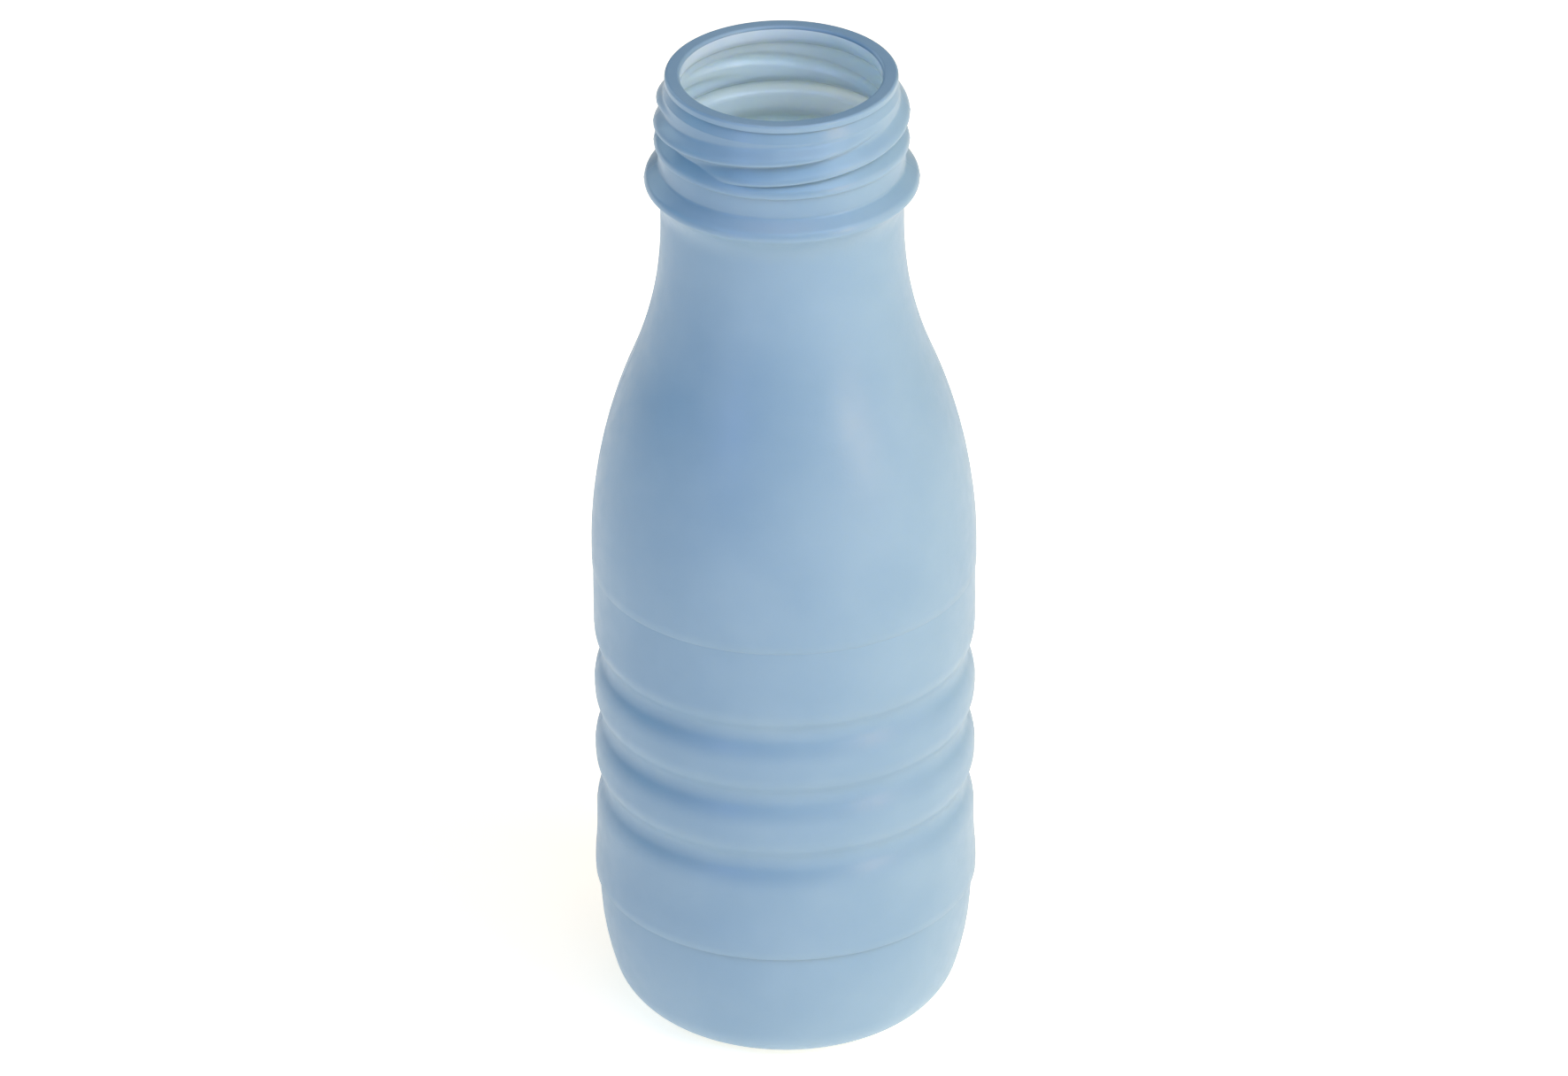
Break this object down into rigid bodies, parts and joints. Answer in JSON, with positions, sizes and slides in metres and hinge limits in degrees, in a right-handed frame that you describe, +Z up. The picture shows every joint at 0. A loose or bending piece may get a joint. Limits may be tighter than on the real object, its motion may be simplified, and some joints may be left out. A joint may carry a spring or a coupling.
{
  "type": "milk bottle",
  "caption": "Empty blow-moulded plastic milk bottle, round, with a sloping shoulder, ring grooves round the lower body and an open wide screw neck.",
  "frame": {"origin": "centre of the foot, on the surface that the bottle stands on", "axes": "+Z up along the bottle's axis and out of the mouth; -Y is the front; the body is round, and only the thread has a direction round the neck"},
  "size_m": [0.058, 0.058, 0.157],
  "materials": {
    "hdpe": "satin, with fine mould grain on the body and a smoother neck"
  },
  "bodies": {
    "root": {"bottle": "hdpe"}
  },
  "joints": []
}
